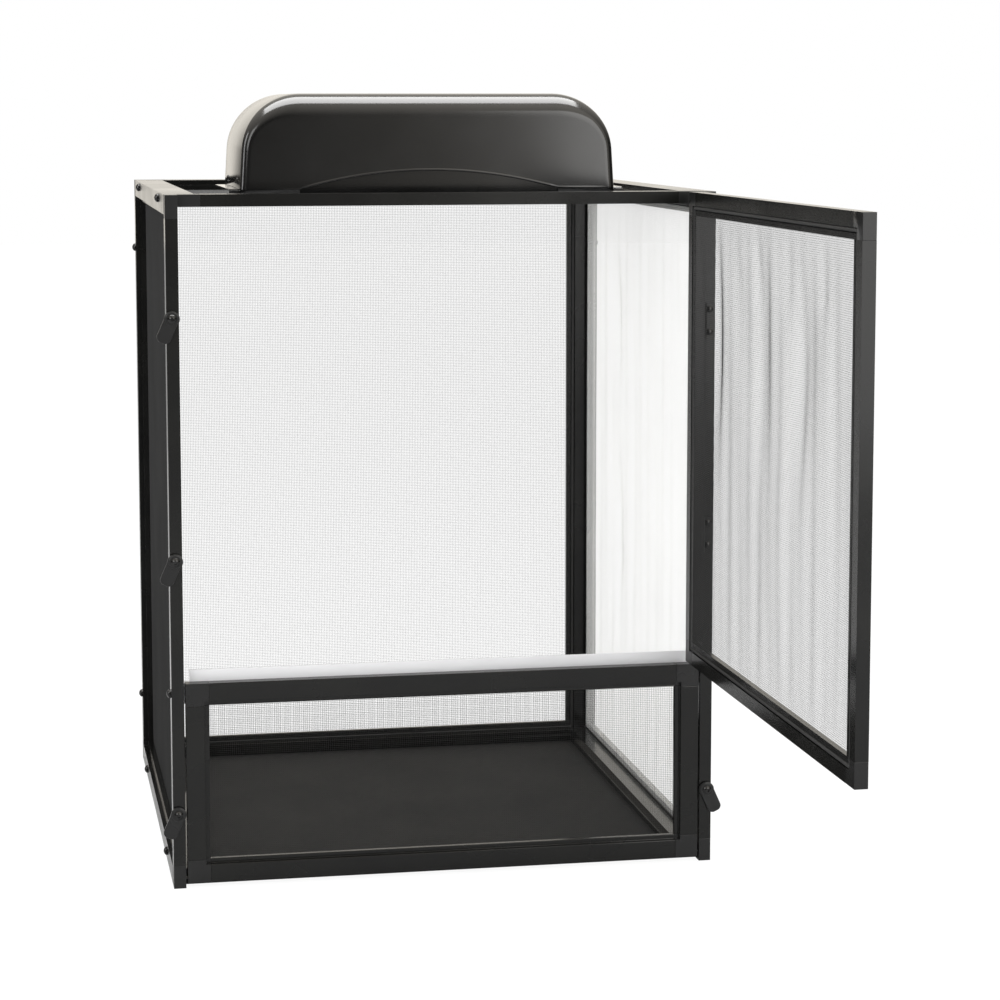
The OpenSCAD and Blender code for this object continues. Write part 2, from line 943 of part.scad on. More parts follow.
module hood_form(inset, z0) {
    intersection() {
        translate([0, 0, z0]) linear_extrude(hood_h) hood_plan(inset);
        rotate([90, 0, 0]) linear_extrude(hood_d + cut, center = true) hood_outline(inset, z0);
        rotate([90, 0, 90]) linear_extrude(hood_w + cut, center = true) hood_profile(inset, z0);
    }
}

module at_bosses() {
    for (x = [-boss_x, boss_x], y = [-boss_y, boss_y]) translate([x, y, 0]) children();
}

// Sets a rivet's place on an end wall, with z along the wall's outward normal.
module at_rivets() {
    z = strip_leg / 2;
    for (end = [0, 1], y = [-rivet_y, rivet_y])
        mirror([end, 0, 0]) translate([hood_side(0, z), y, z]) rotate([0, 90 - hood_lean, 0]) children();
}

module hood_body() {
    color(black) at_hood() difference() {
        union() {
            difference() {
                hood_form(0, 0);
                hood_form(hood_wall, -cut);
            }
            at_bosses() translate([0, 0, reflector_z])
                cylinder(d = roof_boss_d, h = reflector_gap + hood_wall / 2);
        }
        // The arch in the front wall
        translate([0, -hood_d / 2, arch_h - arch_r]) rotate([90, 0, 0])
            cylinder(r = arch_r, h = 2 * hood_wall + cut, center = true, $fn = 180);
        at_bosses() translate([0, 0, reflector_z - cut])
            cylinder(r = hood_screw_d / 2 + fit, h = reflector_gap + cut);
        at_rivets() cylinder(r = rivet_d / 2 + fit, h = 4 * hood_wall, center = true);
        translate([gland_x, hood_d / 2, gland_z]) rotate([90, 0, 0])
            cylinder(r = gland_hole_r + fit, h = 4 * hood_wall, center = true);
    }
}

// The bare plate that closes the arch from behind.
module hood_front_plate() {
    half = arch_w / 2 + plate_lap;
    color(cord_black) at_hood() translate([0, hood_wall + plate_t - hood_d / 2, 0])
        rotate([90, 0, 0]) linear_extrude(plate_t) intersection() {
            translate([0, arch_h - arch_r]) circle(r = arch_r + plate_lap, $fn = 180);
            translate([-half, -plate_drop]) square([2 * half, plate_drop + arch_h + plate_lap]);
        }
}

module reflector_section(inset) {
    rise = reflector_z - reflector_foot_z;
    splay = (reflector_foot_w - reflector_top_w) / 2;
    side = inset * norm([rise, splay]) / rise;
    top_half = reflector_top_w / 2 - side + inset * splay / rise;
    foot_half = reflector_foot_w / 2 - side + (inset > 0 ? splay / rise : 0);
    foot_z = reflector_foot_z - (inset > 0 ? 1 : 0);
    polygon([[-foot_half, foot_z], [foot_half, foot_z], [top_half, reflector_z - inset], [-top_half, reflector_z - inset]]);
}

module hood_reflector() {
    color(white) at_hood() difference() {
        rotate([90, 0, 90]) linear_extrude(reflector_l, center = true) difference() {
            reflector_section(0);
            reflector_section(reflector_t);
        }
        at_bosses() cylinder(r = hood_screw_d / 2 + fit, h = hood_h);
    }
}

// Angle brackets under the reflector, with a lamp holder on each.
module at_lamps() {
    for (end = [0, 1]) mirror([end, 0, 0]) translate([bracket_x, 0, bulb_z]) rotate([0, -90, 0]) children();
}

module at_holder_screws() {
    at_lamps() for (y = [-holder_screw_r, holder_screw_r]) translate([0, y, -bracket_t]) mirror([0, 0, 1]) children();
}

module hood_lamp_brackets() {
    color(bright) at_hood() difference() {
        for (end = [0, 1]) mirror([end, 0, 0]) {
            translate([bracket_x, -bracket_w / 2, bracket_foot_z])
                cube([bracket_t, bracket_w, flange_z - bracket_foot_z]);
            translate([bracket_x + bracket_t - bracket_flange_l, -bracket_w / 2, flange_z - bracket_t])
                cube([bracket_flange_l, bracket_w, bracket_t]);
        }
        at_bosses() cylinder(r = hood_screw_d / 2 + fit, h = hood_h);
        at_holder_screws() screw_hole(hood_screw_d, bracket_t + cut);
    }
}

module hood_lamp_holders() {
    color(white) at_hood() difference() {
        at_lamps() difference() {
            union() {
                cylinder(d = holder_base_d, h = holder_base_t);
                cylinder(d = holder_d, h = holder_base_t + cap_l);
            }
            translate([0, 0, holder_base_t]) cylinder(d = cap_d + 2 * cap_gap, h = cap_l + cut);
        }
        at_holder_screws() screw_hole(hood_screw_d, bracket_t + holder_base_t - 1);
    }
}

module hood_bulb_caps() {
    color(bright) at_hood() at_lamps() translate([0, 0, holder_base_t]) cylinder(d = cap_d, h = cap_l);
}

module hood_bulbs() {
    color(white) at_hood() at_lamps() translate([0, 0, holder_base_t + cap_l]) {
        cylinder(d = cap_d + 3, h = neck_l);
        translate([0, 0, neck_l + bulb_d / 4]) sphere(d = bulb_d);
    }
}

// A strip under each end of the hood, with a leg riveted to the inside of its wall.
module hood_foot_strips() {
    color(bright) at_hood() difference() {
        for (end = [0, 1]) mirror([end, 0, 0])
            rotate([90, 0, 0]) linear_extrude(strip_l, center = true) {
                wall_x = hood_side(hood_wall, 0);
                top_x = hood_side(hood_wall, strip_leg);
                polygon([[wall_x, 0], [top_x, strip_leg], [top_x - strip_t, strip_leg], [wall_x - strip_t, 0]]);
                translate([hood_w / 2 - strip_in, -strip_t]) square([strip_in + strip_out, strip_t]);
            }
        at_rivets() cylinder(r = rivet_d / 2 + fit, h = 6 * hood_wall, center = true);
    }
}

module hood_foot_pads() {
    color(cord_black) at_hood() for (x = [-pad_x, pad_x], y = [-pad_y, pad_y])
        translate([x, y, -strip_t - pad_h]) cylinder(d = pad_d, h = pad_h);
}

module hood_screws() {
    color(bright) at_hood() {
        at_bosses() translate([0, 0, flange_z - bracket_t]) mirror([0, 0, 1])
            screw(hood_screw_d, bracket_t + reflector_t + reflector_gap - 1, hood_screw_head_d, hood_screw_head_h);
        at_holder_screws() screw(hood_screw_d, bracket_t + holder_base_t - 1, hood_screw_head_d, hood_screw_head_h);
    }
}

module hood_rivets() {
    grip = hood_wall + strip_t;
    color(bright) at_hood() at_rivets() {
        translate([0, 0, -grip]) cylinder(d = rivet_d, h = grip + cut / 4);
        round_head(rivet_head_d, rivet_head_h);
    }
}

// The cable gland in the rear wall.
module hood_gland() {
    color(cord_black) at_hood() translate([gland_x, hood_d / 2, gland_z]) rotate([-90, 0, 0]) difference() {
        union() {
            cylinder(r = 8, h = 4);
            translate([0, 0, 4]) cylinder(r1 = 6.5, r2 = 5, h = 6);
            translate([0, 0, -hood_wall - 3]) cylinder(r = gland_hole_r, h = hood_wall + 4);
            translate([0, 0, -hood_wall - 3.5]) cylinder(r = 8, h = 3.5, $fn = 6);
        }
        translate([0, 0, -10]) cylinder(r = 3.2, h = 30);
    }
}

left_panel_rails();
left_panel_corners();
left_panel_cord();
left_panel_screen();
right_panel_rails();
right_panel_corners();
right_panel_cord();
right_panel_screen();
back_panel_rails();
back_panel_corners();
back_panel_cord();
back_panel_screen();
top_panel_rails();
top_panel_corners();
top_panel_cord();
top_panel_screen();
floor_rails();
floor_corners();
floor_board();
floor_screws();
stop_bar();
assembly_screws();
upper_door_rails();
upper_door_corners();
upper_door_cord();
upper_door_screen();
lower_door_rails();
lower_door_corners();
lower_door_cord();
lower_door_screen();
lower_door_pins();
hinge_post_leaves();
hinge_door_leaves();
hinge_pins();
hinge_post_screws();
hinge_door_screws();
latch_upper_left();
latch_middle_left();
latch_lower_left();
latch_lower_right();
latch_screws();
latch_washers();
hood_body();
hood_front_plate();
hood_reflector();
hood_lamp_brackets();
hood_lamp_holders();
hood_bulbs();
hood_bulb_caps();
hood_foot_strips();
hood_foot_pads();
hood_screws();
hood_rivets();
hood_gland();
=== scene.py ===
import json
import math

import bmesh
import bpy
from mathutils import Matrix, Vector


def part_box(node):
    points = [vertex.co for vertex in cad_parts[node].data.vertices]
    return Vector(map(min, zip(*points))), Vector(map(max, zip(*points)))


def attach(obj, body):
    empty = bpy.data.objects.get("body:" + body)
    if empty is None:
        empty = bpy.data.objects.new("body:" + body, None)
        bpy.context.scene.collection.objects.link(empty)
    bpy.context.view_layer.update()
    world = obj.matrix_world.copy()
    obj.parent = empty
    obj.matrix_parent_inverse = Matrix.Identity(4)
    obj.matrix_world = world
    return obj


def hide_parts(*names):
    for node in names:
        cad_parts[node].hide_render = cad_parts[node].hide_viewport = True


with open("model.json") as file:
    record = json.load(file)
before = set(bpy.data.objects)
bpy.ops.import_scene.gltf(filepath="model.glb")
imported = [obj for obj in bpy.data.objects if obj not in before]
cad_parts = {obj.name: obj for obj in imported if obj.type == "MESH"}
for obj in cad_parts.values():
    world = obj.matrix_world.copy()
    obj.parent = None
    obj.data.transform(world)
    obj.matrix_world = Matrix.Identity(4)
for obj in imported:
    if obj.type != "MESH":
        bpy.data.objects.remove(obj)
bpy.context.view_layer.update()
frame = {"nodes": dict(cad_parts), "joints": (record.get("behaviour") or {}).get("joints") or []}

# ---- Panel rails ----
# Every panel and door is framed by four hollow extruded rails, satin black and cut off square.
# Drawing the metal leaves fine lines along each rail, and sawing leaves its ends a little rounded.

PANELS = {"left_panel": "cage", "right_panel": "cage", "back_panel": "cage", "top_panel": "cage",
          "floor": "cage", "upper_door": "upper_door", "lower_door": "lower_door"}
RAIL_EDGE = 0.0004
SHARP = math.radians(35)
FLAT = math.radians(0.5)
SAME_PLACE = 1e-6
CLOUD_SCALE = 14
CLOUD_DETAIL = 4
CLOUD_REACH = (0.3, 0.7)
GRAIN_DETAIL = 2
GRAIN_STRENGTH = 0.5


def new_finish(name):
    """A new material, with its shader, its nodes and its links."""
    material = bpy.data.materials.new(name)
    material.use_nodes = True
    nodes = material.node_tree.nodes
    return material, nodes["Principled BSDF"], nodes, material.node_tree.links


def unevenness(nodes, links, scale, detail, drawn=(1, 1, 1)):
    """Noise on the piece's own coordinates. A small factor in drawn pulls it out along that axis."""
    place = nodes.new("ShaderNodeTexCoord")
    pull = nodes.new("ShaderNodeMapping")
    pull.inputs["Scale"].default_value = drawn
    noise = nodes.new("ShaderNodeTexNoise")
    noise.inputs["Scale"].default_value = scale
    noise.inputs["Detail"].default_value = detail
    links.new(place.outputs["Object"], pull.inputs["Vector"])
    links.new(pull.outputs["Vector"], noise.inputs["Vector"])
    return noise.outputs["Fac"]


def ramp(nodes, links, value, start, end, low, high):
    """Maps a value from start..end to low..high."""
    spread = nodes.new("ShaderNodeMapRange")
    for name, number in (("From Min", start), ("From Max", end), ("To Min", low), ("To Max", high)):
        spread.inputs[name].default_value = number
    links.new(value, spread.inputs["Value"])
    return spread.outputs["Result"]


def coat(name, dark, light, rough, grain=1200, depth=0.00003, drawn=(1, 1, 1), metal=0.0, shine=0.5):
    """Paint, plating or moulded plastic: two close shades in soft clouds, uneven gloss and a fine grain."""
    material, shader, nodes, links = new_finish(name)
    clouds = unevenness(nodes, links, CLOUD_SCALE, CLOUD_DETAIL, drawn)
    shade = nodes.new("ShaderNodeMix")
    shade.data_type = "RGBA"
    shade.inputs["A"].default_value = (*dark, 1)
    shade.inputs["B"].default_value = (*light, 1)
    links.new(ramp(nodes, links, clouds, *CLOUD_REACH, 0, 1), shade.inputs["Factor"])
    links.new(shade.outputs["Result"], shader.inputs["Base Color"])
    links.new(ramp(nodes, links, clouds, *CLOUD_REACH, *rough), shader.inputs["Roughness"])
    bump = nodes.new("ShaderNodeBump")
    bump.inputs["Strength"].default_value = GRAIN_STRENGTH
    bump.inputs["Distance"].default_value = depth
    links.new(unevenness(nodes, links, grain, GRAIN_DETAIL, drawn), bump.inputs["Height"])
    links.new(bump.outputs["Normal"], shader.inputs["Normal"])
    shader.inputs["Metallic"].default_value = metal
    shader.inputs["Specular IOR Level"].default_value = shine
    return material


def dress(node, material):
    """Shows a CAD node as it is, in its finish."""
    frame["nodes"][node].data.materials.clear()
    frame["nodes"][node].data.materials.append(material)


def shown(name, mesh, material, body, node):
    """Puts a new piece in the scene in the place of a CAD node."""
    piece = bpy.data.objects.new(name, mesh)
    bpy.context.scene.collection.objects.link(piece)
    piece.data.materials.append(material)
    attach(piece, body)
    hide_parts(node)
    return piece


def softened(node, edge, material, body):
    """A copy of a CAD node with its sharp edges broken."""
    shape = bmesh.new()
    shape.from_mesh(frame["nodes"][node].data)
    bmesh.ops.remove_doubles(shape, verts=shape.verts[:], dist=SAME_PLACE)
    bmesh.ops.dissolve_limit(shape, angle_limit=FLAT, verts=shape.verts[:], edges=shape.edges[:])
    sharp = [e for e in shape.edges if e.is_manifold and e.calc_face_angle() > SHARP]
    bmesh.ops.bevel(shape, geom=sharp, offset=edge, offset_type="OFFSET", segments=2, profile=0.5,
                    affect="EDGES", clamp_overlap=True, material=-1)
    mesh = bpy.data.meshes.new(node + "_soft")
    shape.to_mesh(mesh)
    shape.free()
    return shown(node + "_soft", mesh, material, body, node)


rail_black = coat("rail_black", (0.005, 0.005, 0.005), (0.009, 0.009, 0.008), (0.15, 0.21),
                  grain=900, depth=0.00001, shine=0.26)
for panel, body in PANELS.items():
    softened(f"{panel}_rails", RAIL_EDGE, rail_black, body)

# ---- Corner blocks ----
# A block of black plastic joins two rails at each corner, on legs pushed inside them.
# It is duller and a shade greyer than the metal, and the joint shows as a fine line.

BLOCK_EDGE = 0.0002
block_black = coat("block_black", (0.008, 0.008, 0.008), (0.013, 0.013, 0.013), (0.24, 0.32),
                   grain=1500, depth=0.00003, shine=0.3)
for panel, body in PANELS.items():
    softened(f"{panel}_corners", BLOCK_EDGE, block_black, body)

# ---- Screen cords ----
# A round rubber cord is rolled into the groove of each frame and holds the screen's edge there.
# It is extruded, and one length goes all the way round.

cord_rubber = coat("cord_rubber", (0.006, 0.006, 0.006), (0.012, 0.012, 0.012), (0.55, 0.7),
                   grain=1800, depth=0.00008)
for panel in PANELS:
    if panel != "floor":
        dress(f"{panel}_cord", cord_rubber)

# ---- Screens ----
# Fine aluminium wire in a black coat, woven square and stretched over each panel.
# The right side's wires are painted pale, a painted light for how bright its screen shows; the real wire
# has the same black coat. Its screen and the open door's are slack, and stand in upright folds.

PITCH = 0.00142
WIRE_R = 0.000077
DOOR_CUTS = (70, 14)
RIGHT_CUTS = (44, 10)
# Each fold: its place across, the height of its middle, half its length, its width and its depth.
DOOR_FOLDS = ((0.05, 0.50, 0.45, 0.040, 0.4), (0.15, 0.70, 0.34, 0.050, 0.9),
              (0.33, 0.80, 0.24, 0.045, 0.5), (0.45, 0.92, 0.12, 0.030, 0.5),
              (0.485, 0.70, 0.32, 0.060, 1.0), (0.60, 0.35, 0.30, 0.060, -0.4),
              (0.64, 0.90, 0.14, 0.035, 0.5), (0.71, 0.70, 0.32, 0.062, 1.2),
              (0.82, 0.90, 0.13, 0.030, 0.5), (0.92, 0.45, 0.50, 0.060, 0.4))
RIGHT_FOLDS = ((0.12, 0.60, 0.35, 0.050, 0.3), (0.29, 0.78, 0.16, 0.045, 1.0),
               (0.31, 0.42, 0.20, 0.045, 1.1), (0.48, 0.55, 0.40, 0.060, 0.4),
               (0.66, 0.50, 0.45, 0.060, 0.3), (0.85, 0.60, 0.35, 0.050, 0.3))
FOLD_DEPTH = 0.0030
FOLD_SWAY = (0.02, 5, 9)
# Each ripple: its depth, how many to the width and how they slant.
RIPPLES = ((0.08, 60, 2), (0.05, 97, -3))
EDGE_EASE = (14, 12)


def wire(weave, length, place):
    """One straight wire from the origin along +z, then put in place. Gives its long edges."""
    made = bmesh.ops.create_cone(
        weave, cap_ends=True, segments=4, radius1=WIRE_R, radius2=WIRE_R, depth=length,
        matrix=place @ Matrix.Translation((0, 0, length / 2)))
    along = place.to_3x3() @ Vector((0, 0, 1))
    edges = {e for v in made["verts"] for e in v.link_edges}
    return [e for e in edges if abs((e.verts[1].co - e.verts[0].co).dot(along)) > length / 2]


def woven(name, width, height, place, cuts=(0, 0), slack=None):
    """A screen with x across, y up and its outside on +z, set in its panel by place."""
    weave = bmesh.new()
    across = round(width / PITCH)
    up = round(height / PITCH)
    standing = []
    lying = []
    for i in range(1, across):
        stand = Matrix.Translation((i * width / across, 0, -WIRE_R))
        standing += wire(weave, height, stand @ Matrix.Rotation(-math.pi / 2, 4, "X"))
    for i in range(1, up):
        lie = Matrix.Translation((0, i * height / up, WIRE_R))
        lying += wire(weave, width, lie @ Matrix.Rotation(math.pi / 2, 4, "Y"))
    if slack:
        bmesh.ops.subdivide_edges(weave, edges=standing, cuts=cuts[1], use_grid_fill=False)
        bmesh.ops.subdivide_edges(weave, edges=lying, cuts=cuts[0], use_grid_fill=False)
        for v in weave.verts:
            v.co.z += slack(v.co.x / width, v.co.y / height)
    bmesh.ops.transform(weave, matrix=place, verts=weave.verts[:])
    mesh = bpy.data.meshes.new(name)
    weave.to_mesh(mesh)
    weave.free()
    return mesh


def upright(origin, across):
    """Turns a screen upright, with its x along across."""
    x = Vector(across)
    y = Vector((0, 0, 1))
    return Matrix.Translation(origin) @ Matrix((x, y, x.cross(y))).transposed().to_4x4()


wire_black = coat("wire_black", (0.014, 0.014, 0.014), (0.024, 0.024, 0.024), (0.50, 0.65),
                  grain=3000, depth=0.00001, shine=0.2)
# Painted light: near-white wires for the right screen stand in for its brightness; the real wire is the
# black-coated one above.
wire_painted_light = coat("wire_painted_light", (0.88, 0.88, 0.86), (0.94, 0.94, 0.92), (0.50, 0.65),
                 grain=3000, depth=0.00001)


def slackness(folds, x, y):
    """How far a slack screen stands out: upright folds that die out at the frame."""
    depth = 0
    sway, bends, shift = FOLD_SWAY
    for place, middle, reach, wide, deep in folds:
        bend = place + sway * math.sin(bends * (y - middle) + shift * place)
        across = (x - bend) / wide
        along = (y - middle) / reach
        depth += deep * math.exp(-across * across) * max(0, 1 - along * along) ** 2
    for deep, count, slant in RIPPLES:
        depth += deep * math.sin(count * (1 - x) + slant * y)
    ease_x, ease_y = EDGE_EASE
    edge = min(1, ease_x * x, ease_x * (1 - x)) * min(1, ease_y * y, ease_y * (1 - y))
    return FOLD_DEPTH * depth * edge


def right_slack(x, y):
    """The right side's folds, placed from the back."""
    return slackness(RIGHT_FOLDS, 1 - x, y)


def door_slack(x, y):
    """The upper door's folds, placed from its hinge."""
    return slackness(DOOR_FOLDS, 1 - x, y)


low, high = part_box("left_panel_screen")
shown("left_screen", woven("left_screen", high.y - low.y, high.z - low.z,
                           upright((high.x - 2 * WIRE_R, low.y, low.z), (0, 1, 0))),
      wire_black, "cage", "left_panel_screen")
low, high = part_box("right_panel_screen")
shown("right_screen", woven("right_screen", high.y - low.y, high.z - low.z,
                            upright((low.x + 2 * WIRE_R, low.y, low.z), (0, 1, 0)),
                            cuts=RIGHT_CUTS, slack=right_slack),
      wire_painted_light, "cage", "right_panel_screen")
low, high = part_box("back_panel_screen")
shown("back_screen", woven("back_screen", high.x - low.x, high.z - low.z,
                           upright((low.x, low.y + 2 * WIRE_R, low.z), (1, 0, 0))),
      wire_black, "cage", "back_panel_screen")
low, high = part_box("top_panel_screen")
shown("top_screen", woven("top_screen", high.x - low.x, high.y - low.y,
                          Matrix.Translation((low.x, low.y, low.z + 2 * WIRE_R))),
      wire_black, "cage", "top_panel_screen")
low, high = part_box("lower_door_screen")
door_w = high.x - low.x
door_plane = Vector((low.x, high.y - 2 * WIRE_R, low.z))
shown("lower_screen", woven("lower_screen", door_w, high.z - low.z, upright(door_plane, (1, 0, 0))),
      wire_black, "lower_door", "lower_door_screen")

# The upper door's screen is woven on the closed door, then swung open with it.
hinge = next(j for j in frame["joints"] if j["name"] == "upper_door_hinge")
to_pin = Matrix.Translation(hinge["pos_m"])
opened = Matrix.Rotation(-math.radians(hinge["range_deg"][0]), 4, "Z")
swung = to_pin @ opened @ to_pin.inverted()
low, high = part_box("upper_door_screen")
door_plane.z = low.z
shown("upper_screen", woven("upper_screen", door_w, high.z - low.z,
                            swung @ upright(door_plane, (1, 0, 0)),
                            cuts=DOOR_CUTS, slack=door_slack),
      wire_black, "upper_door", "upper_door_screen")

# ---- Floor board ----
# A matt sheet of black rigid foam PVC, cut to the floor's frame.
# Countersunk screws hold it there from below.

board_black = coat("board_black", (0.009, 0.009, 0.009), (0.015, 0.015, 0.015), (0.75, 0.88),
                   grain=1300, depth=0.00006, shine=0.15)
dress("floor_board", board_black)

# ---- Stop bar ----
# A mill-finish aluminium angle across the front, which both doors close against.
# It is cut from an extruded bar and screwed to the two posts.

bar_bright = coat("bar_bright", (0.86, 0.86, 0.87), (0.91, 0.91, 0.92), (0.4, 0.5),
                  grain=800, depth=0.00002, drawn=(0.05, 1, 1))
softened("stop_bar", RAIL_EDGE, bar_bright, "cage")

# ---- Screws, hinges and pins ----
# Blackened steel screws and pins and painted hinge leaves. The floor's screws are zinc plated.
# The leaves are stamped, and their knuckles are rolled round the pins.

steel_black = coat("steel_black", (0.025, 0.025, 0.025), (0.04, 0.04, 0.04), (0.10, 0.15),
                   grain=1500, depth=0.00001, metal=1.0)
steel_plate = coat("steel_plate", (0.52, 0.52, 0.54), (0.64, 0.64, 0.66), (0.25, 0.36),
                   grain=1500, depth=0.00001, metal=1.0)
for node in ("assembly_screws", "hinge_post_screws", "hinge_door_screws", "latch_screws", "hinge_pins",
             "lower_door_pins"):
    dress(node, steel_black)
for node in ("hinge_post_leaves", "hinge_door_leaves"):
    dress(node, rail_black)
dress("floor_screws", steel_plate)

# ---- Turn latches ----
# Moulded black tabs. Each turns on a nylon washer under a button-head screw in the post,
# and friction holds it where it is left.

LATCHES = {"latch_upper_left": "latch_a", "latch_middle_left": "latch_b",
           "latch_lower_left": "latch_c", "latch_lower_right": "latch_d"}
LATCH_EDGE = 0.0005
latch_black = coat("latch_black", (0.009, 0.009, 0.009), (0.014, 0.014, 0.014), (0.24, 0.32),
                   grain=1600, depth=0.00003, shine=0.3)
washer_nylon = coat("washer_nylon", (0.22, 0.22, 0.21), (0.32, 0.32, 0.31), (0.4, 0.5))
for node, body in LATCHES.items():
    softened(node, LATCH_EDGE, latch_black, body)
dress("latch_washers", washer_nylon)

# ---- Hood shell ----
# Pressed steel sheet in gloss black. Its rounded rim is wide along the roof and tightens down the ends.
# The front wall is cut out below in a shallow arch, whose edge is turned out in a narrow lip.

HOOD_LEAN = math.radians(3.5)
HOOD_CORNER = 0.045
ROOF_EDGE = 0.017
END_EDGE = 0.006
HOOD_WALL = 0.0018
ARCH_W = 0.199
ARCH_H = 0.014
ARCH_LIP = 0.0009
LIP_W = 0.0012
SKIRT = 0.004
SKIRT_ROUND = 0.9
SHEET_EDGE = 0.0007
SHEET_CORNER = math.radians(60)
RIM_STEPS = 10
CORNER_STEPS = 18
ARCH_STEPS = 16
END_SPARE = 0.004
ON_FOOT = 1e-5
ON_CUT = 1e-7


def trail(shape, geometry, centre, axis, angle, steps):
    """Spins points or edges about a centre, and gives the last copy."""
    spun = bmesh.ops.spin(shape, geom=geometry, cent=centre, axis=axis, dvec=(0, 0, 0), angle=angle,
                          steps=steps, use_merge=False, use_normal_flip=False, use_duplicate=False)
    return spun["geom_last"]


def drawn_out(shape, geometry, way):
    """Extends points or edges straight along way, and gives the last copy."""
    edges = [g for g in geometry if isinstance(g, bmesh.types.BMEdge)]
    if edges:
        made = bmesh.ops.extrude_edge_only(shape, edges=edges)["geom"]
    else:
        made = bmesh.ops.extrude_vert_indiv(shape, verts=geometry)
        made = made["verts"] + made["edges"]
    last = [g for g in made if isinstance(g, bmesh.types.BMVert)]
    bmesh.ops.translate(shape, vec=way, verts=last)
    moved = set(last)
    return last + list({e for v in last for e in v.link_edges if e.other_vert(v) in moved})


low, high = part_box("hood_body")
mid_x = (low.x + high.x) / 2
corner_z = high.z - HOOD_CORNER
corner_x = high.x - HOOD_CORNER / math.cos(HOOD_LEAN) - (corner_z - low.z) * math.tan(HOOD_LEAN)
turn = math.pi / 2 - HOOD_LEAN

# One section of the rim, roof and rear rim over the hood's middle, from front to back
hood = bmesh.new()
start = hood.verts.new((mid_x, low.y, high.z - ROOF_EDGE))
tip = trail(hood, [start], (mid_x, low.y + ROOF_EDGE, high.z - ROOF_EDGE), (1, 0, 0),
            -math.pi / 2, RIM_STEPS)
tip = [g for g in tip if isinstance(g, bmesh.types.BMVert)]
tip = drawn_out(hood, tip, (0, high.y - low.y - 2 * ROOF_EDGE, 0))
trail(hood, tip, (mid_x, high.y - ROOF_EDGE, high.z - ROOF_EDGE), (1, 0, 0), -math.pi / 2, RIM_STEPS)

# Along the roof, round the corner and down the leaning end
section = drawn_out(hood, hood.edges[:], (corner_x - mid_x, 0, 0))
section = trail(hood, section, (corner_x, 0, corner_z), (0, 1, 0), turn, CORNER_STEPS)
fall = (corner_z - low.z + END_SPARE) / math.cos(HOOD_LEAN)
drawn_out(hood, section, (fall * math.sin(HOOD_LEAN), 0, -fall * math.cos(HOOD_LEAN)))

# The rim tightens from the roof's radius to the end's.
for v in hood.verts:
    x = v.co.x - corner_x
    z = v.co.z - corner_z
    around = min(max(math.atan2(x, z), 0), turn) if x > 0 else 0
    eased = around / turn
    size = 1 + (END_EDGE / ROOF_EDGE - 1) * eased * eased * (3 - 2 * eased)
    out = Vector((math.sin(around), 0, math.cos(around)))
    inset = HOOD_CORNER - (x * out.x + z * out.z)
    v.co += out * inset * (1 - size)
    if v.co.y - low.y < ROOF_EDGE + SAME_PLACE:
        v.co.y = low.y + (v.co.y - low.y) * size
    else:
        v.co.y = high.y - (high.y - v.co.y) * size
bmesh.ops.bisect_plane(hood, geom=hood.verts[:] + hood.edges[:] + hood.faces[:], dist=ON_CUT,
                       plane_co=(0, 0, low.z), plane_no=(0, 0, -1), clear_outer=True)

# The flat walls inside the rim, the front one with its arch
arch_r = ((ARCH_W / 2) ** 2 + ARCH_H ** 2) / (2 * ARCH_H)
crown = hood.verts.new((mid_x, low.y, low.z + ARCH_H))
trail(hood, [crown], (mid_x, low.y, low.z + ARCH_H - arch_r), (0, 1, 0),
      math.asin(ARCH_W / 2 / arch_r), ARCH_STEPS)
hood.verts.new((mid_x, high.y, low.z))
for wall_y in (low.y, high.y):
    flat = [v for v in hood.verts if abs(v.co.y - wall_y) < SAME_PLACE]
    on_middle = sorted((v for v in flat if abs(v.co.x - mid_x) < SAME_PLACE), key=lambda v: v.co.z)
    hood.edges.new((on_middle[0], on_middle[-1]))
    on_foot = sorted((v for v in flat if abs(v.co.z - low.z) < ON_FOOT), key=lambda v: v.co.x)
    hood.edges.new((on_foot[-2], on_foot[-1]))
    rim = [e for e in hood.edges if all(abs(v.co.y - wall_y) < SAME_PLACE for v in e.verts)]
    bmesh.ops.contextual_create(hood, geom=rim)

bmesh.ops.mirror(hood, geom=hood.verts[:] + hood.edges[:] + hood.faces[:], axis="X",
                 matrix=Matrix.Translation((-mid_x, 0, 0)), merge_dist=SAME_PLACE)
bmesh.ops.remove_doubles(hood, verts=hood.verts[:], dist=SAME_PLACE)
seams = [e for e in hood.edges if e.is_manifold and all(len(f.verts) > 4 for f in e.link_faces)]
bmesh.ops.dissolve_edges(hood, edges=seams, use_verts=True)
walls = [f for f in hood.faces if len(f.verts) > 4]
bmesh.ops.inset_region(hood, faces=walls, thickness=LIP_W, use_even_offset=True, use_boundary=True)
for v in hood.verts:
    if v.is_boundary and v.co.z > low.z + ON_FOOT:
        v.co.y -= ARCH_LIP

# The front wall and most of the round beside it hang a little lower, behind the cage's front rail.
front_foot = [e for e in hood.edges if e.is_boundary and all(
    abs(v.co.z - low.z) < ON_FOOT and v.co.y < low.y + SKIRT_ROUND * END_EDGE for v in e.verts)]
drawn_out(hood, front_foot, (0, 0, -SKIRT))
bmesh.ops.recalc_face_normals(hood, faces=hood.faces[:])
for face in hood.faces:
    face.smooth = len(face.verts) <= 4
mesh = bpy.data.meshes.new("hood_shell")
hood.to_mesh(mesh)
hood.free()

hood_black = coat("hood_black", (0.004, 0.004, 0.004), (0.007, 0.007, 0.007), (0.12, 0.16),
                  grain=1500, depth=0.000004)
hood_shell = shown("hood_shell", mesh, hood_black, "cage", "hood_body")
wall = hood_shell.modifiers.new("sheet", "SOLIDIFY")
wall.thickness = HOOD_WALL
wall.offset = -1
fold = hood_shell.modifiers.new("edge", "BEVEL")
fold.width = SHEET_EDGE
fold.segments = 2
fold.limit_method = "ANGLE"
fold.angle_limit = SHEET_CORNER

# ---- Hood fittings ----
# A gloss plate closes the arch from behind, and plated strips with rubber pads carry the hood.
# Inside, a polished reflector hangs over two lamps in glazed holders on steel brackets.

